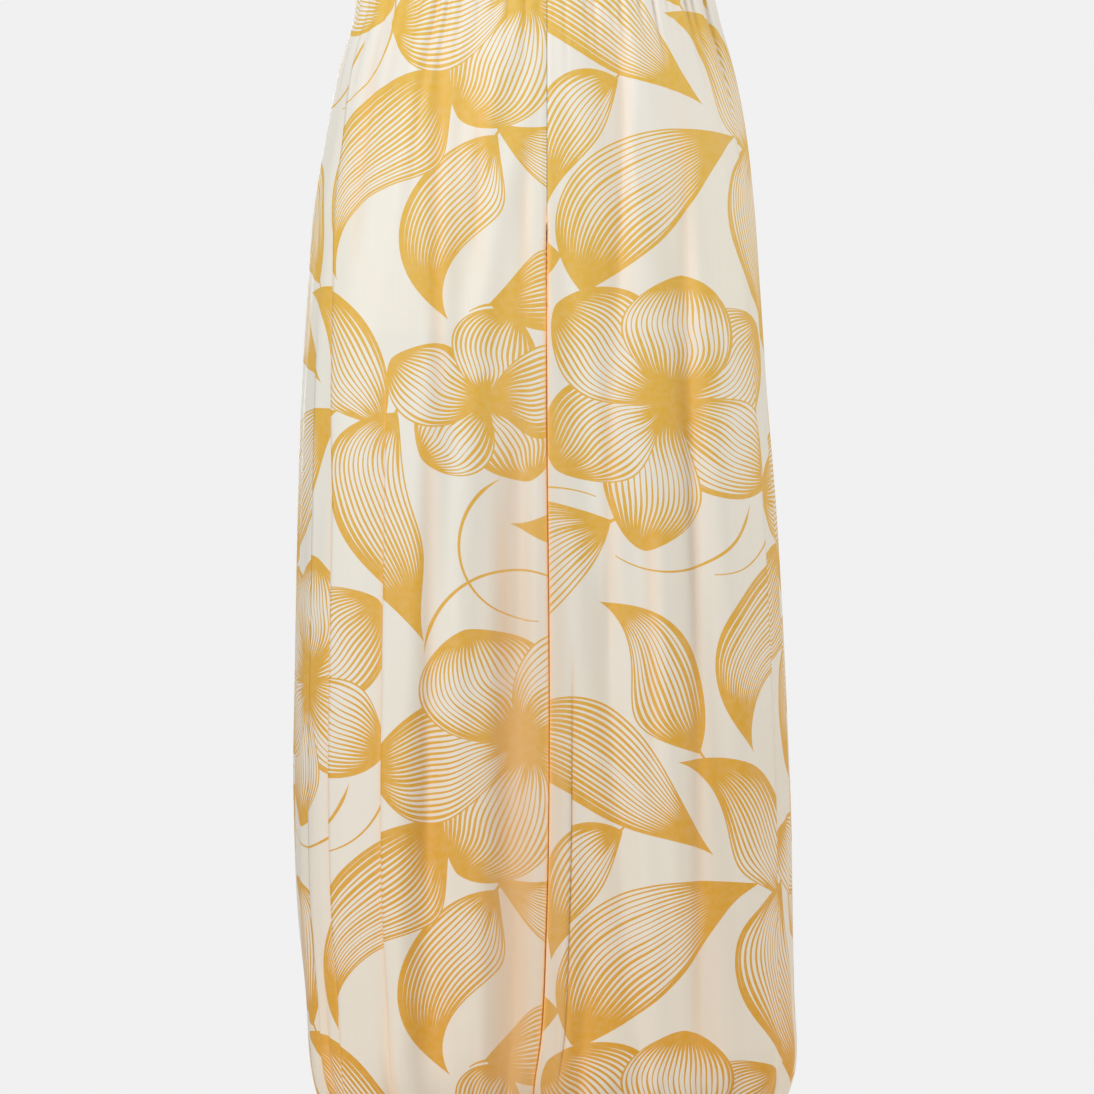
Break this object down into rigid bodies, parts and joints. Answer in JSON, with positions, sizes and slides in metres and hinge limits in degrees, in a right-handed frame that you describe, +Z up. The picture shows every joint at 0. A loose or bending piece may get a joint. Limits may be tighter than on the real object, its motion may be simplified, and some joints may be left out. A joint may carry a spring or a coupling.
{
  "type": "balloon pants",
  "caption": "Balloon pants: wide soft printed legs gathered to an elastic waistband and to elastic ankle cuffs, with a short lining, hollow as worn.",
  "frame": {"origin": "centre of the waistband, halfway up it, on the line of the centre seams", "axes": "+Z up along the wearer's body, -Y to the front, +X to the wearer's left"},
  "size_m": [0.4281, 0.2614, 1.0698],
  "materials": {
    "outer_cloth": "light satin-faced crepe, cream ground with a gold line-drawn leaf and blossom print, soft sheen",
    "band_cloth": "the same cloth folded double over elastic, ruched",
    "lining_cloth": "thin plain matt lining, off-white"
  },
  "bodies": {
    "root": {"front_left": "outer_cloth", "front_right": "outer_cloth", "back_left": "outer_cloth", "back_right": "outer_cloth", "waistband": "band_cloth", "cuff_left": "band_cloth", "cuff_right": "band_cloth", "lining_left": "lining_cloth", "lining_right": "lining_cloth"}
  },
  "joints": []
}
